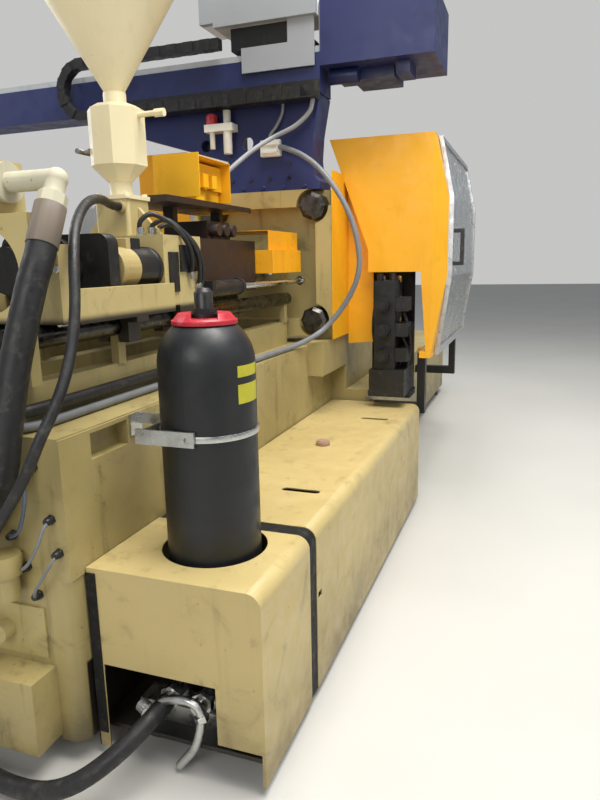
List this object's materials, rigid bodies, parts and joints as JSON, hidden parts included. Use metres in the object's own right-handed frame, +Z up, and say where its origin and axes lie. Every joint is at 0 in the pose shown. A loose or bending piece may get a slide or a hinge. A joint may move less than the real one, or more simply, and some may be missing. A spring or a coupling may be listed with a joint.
{
  "type": "injection moulding machine",
  "caption": "Horizontal hydraulic injection moulding machine with sliding gates, a hopper-fed injection carriage and a take-out robot bridging its fixed platen.",
  "frame": {"origin": "on the floor under the centre of the base, midway between the anchor holes", "axes": "+X along the machine to the injection end, +Y to the rear side with the tank covers, +Z up"},
  "size_m": [5.1539, 2.796, 2.941],
  "materials": {
    "cream_paint": "semi-gloss machine paint, aged",
    "yellow_paint": "semi-gloss sheet paint",
    "blue_paint": "semi-gloss paint",
    "black_paint": "gloss paint",
    "red_plastic": "gloss",
    "bare_steel": "bare or galvanised, dull",
    "chromed_steel": "hard chrome",
    "brown_paint": "heat-stained sheet",
    "pale_casting": "matte cast surface, painted",
    "rubber_seal": "matte",
    "cap_plastic": "matte",
    "grey_paint": "semi-gloss",
    "clear_panel": "clear sheet, slightly hazed",
    "black_plastic": "matte",
    "white_paint": "semi-gloss",
    "aluminium": "anodised, satin",
    "hose_rubber": "matte hose rubber"
  },
  "bodies": {
    "base": {"base_frame": "cream_paint", "levelling_feet": "bare_steel", "junction_box": "cream_paint", "tank_cover_front": "cream_paint", "tank_cover_rear": "cream_paint", "cover_gasket": "rubber_seal", "accumulator_shell": "black_paint", "accumulator_ring": "red_plastic", "accumulator_valve": "black_paint", "accumulator_clamp": "bare_steel", "return_fittings": "bare_steel", "fixed_platen": "cream_paint", "tie_bars": "bare_steel", "tie_bar_nuts": "black_paint", "cylinder_platen": "cream_paint", "bed_ways": "bare_steel", "core_pull_manifold": "black_paint", "rear_guard": "yellow_paint", "front_guard": "yellow_paint", "carriage_rods": "bare_steel", "control_panel": "grey_paint", "robot_pedestal": "blue_paint", "robot_beam": "blue_paint", "cable_chain": "black_plastic", "air_unit": "aluminium", "robot_cable": "hose_rubber", "bed_hose": "hose_rubber", "return_hose": "hose_rubber"},
    "filler_cap": {"filler_cap": "cap_plastic"},
    "rear_gate": {"rear_gate": "grey_paint", "rear_gate_window": "clear_panel", "rear_gate_handle": "black_plastic"},
    "front_gate": {"front_gate": "yellow_paint", "front_gate_window": "clear_panel"},
    "moving_platen": {"moving_platen": "cream_paint", "clamp_ram": "chromed_steel"},
    "ejector": {"ejector": "bare_steel"},
    "injection_carriage": {"injection_carriage": "cream_paint", "motor_elbow": "pale_casting", "carriage_cylinders": "black_paint", "injection_cylinders": "black_paint", "barrel": "bare_steel", "heater_bands": "bare_steel", "barrel_guard": "brown_paint", "hopper_housing": "cream_paint", "hopper": "cream_paint", "terminal_hood": "yellow_paint", "main_hose": "hose_rubber", "carriage_hose": "hose_rubber"},
    "crosshead": {"crosshead": "cream_paint", "injection_rods": "bare_steel", "screw_motor": "black_paint"},
    "screw": {"screw": "chromed_steel"},
    "nozzle_guard": {"nozzle_guard": "yellow_paint"},
    "hopper_slide": {"hopper_slide": "bare_steel"},
    "hopper_lid": {"hopper_lid": "cream_paint"},
    "emergency_stop": {"emergency_stop": "red_plastic"},
    "robot_carriage": {"robot_carriage": "white_paint"},
    "robot_column": {"robot_column": "aluminium"},
    "air_knob": {"air_knob": "red_plastic"}
  },
  "joints": [
    {"name": "clamp_stroke", "type": "slide", "parent": "base", "child": "moving_platen", "axis": [1, 0, 0], "range_m": [0, 0.6]},
    {"name": "ejector_stroke", "type": "slide", "parent": "moving_platen", "child": "ejector", "axis": [1, 0, 0], "range_m": [0, 0.1]},
    {"name": "rear_gate_slide", "type": "slide", "parent": "base", "child": "rear_gate", "axis": [-1, 0, 0], "range_m": [0, 0.62]},
    {"name": "front_gate_slide", "type": "slide", "parent": "base", "child": "front_gate", "axis": [-1, 0, 0], "range_m": [0, 0.62]},
    {"name": "carriage_stroke", "type": "slide", "parent": "base", "child": "injection_carriage", "axis": [1, 0, 0], "range_m": [0, 0.25]},
    {"name": "injection_stroke", "type": "slide", "parent": "injection_carriage", "child": "crosshead", "axis": [1, 0, 0], "range_m": [0, 0.18]},
    {"name": "screw_turn", "type": "hinge", "parent": "crosshead", "child": "screw", "pos_m": [2, 0, 1.194], "axis": [1, 0, 0], "continuous": true},
    {"name": "nozzle_guard_hinge", "type": "hinge", "parent": "injection_carriage", "child": "nozzle_guard", "pos_m": [0.9, -0.218, 1.255], "axis": [1, 0, 0], "range_deg": [0, 100]},
    {"name": "hopper_slide_pull", "type": "slide", "parent": "injection_carriage", "child": "hopper_slide", "axis": [0, -1, 0], "range_m": [0, 0.06]},
    {"name": "hopper_lid_hinge", "type": "hinge", "parent": "injection_carriage", "child": "hopper_lid", "pos_m": [1.811, -0.266, 2.454], "axis": [1, 0, 0], "range_deg": [0, 100]},
    {"name": "filler_cap_turn", "type": "hinge", "parent": "base", "child": "filler_cap", "pos_m": [1.285, 0.478, 0.505], "axis": [0, 0, 1], "range_deg": [0, 90]},
    {"name": "emergency_stop_press", "type": "slide", "parent": "base", "child": "emergency_stop", "axis": [0, 1, 0], "range_m": [0, 0.006]},
    {"name": "robot_traverse", "type": "slide", "parent": "base", "child": "robot_carriage", "axis": [0, -1, 0], "range_m": [0, 1.3]},
    {"name": "robot_lift", "type": "slide", "parent": "robot_carriage", "child": "robot_column", "axis": [0, 0, -1], "range_m": [0, 0.7]},
    {"name": "air_knob_turn", "type": "hinge", "parent": "base", "child": "air_knob", "pos_m": [0.74, -0.217, 1.85], "axis": [0, 0, 1], "continuous": true}
  ]
}
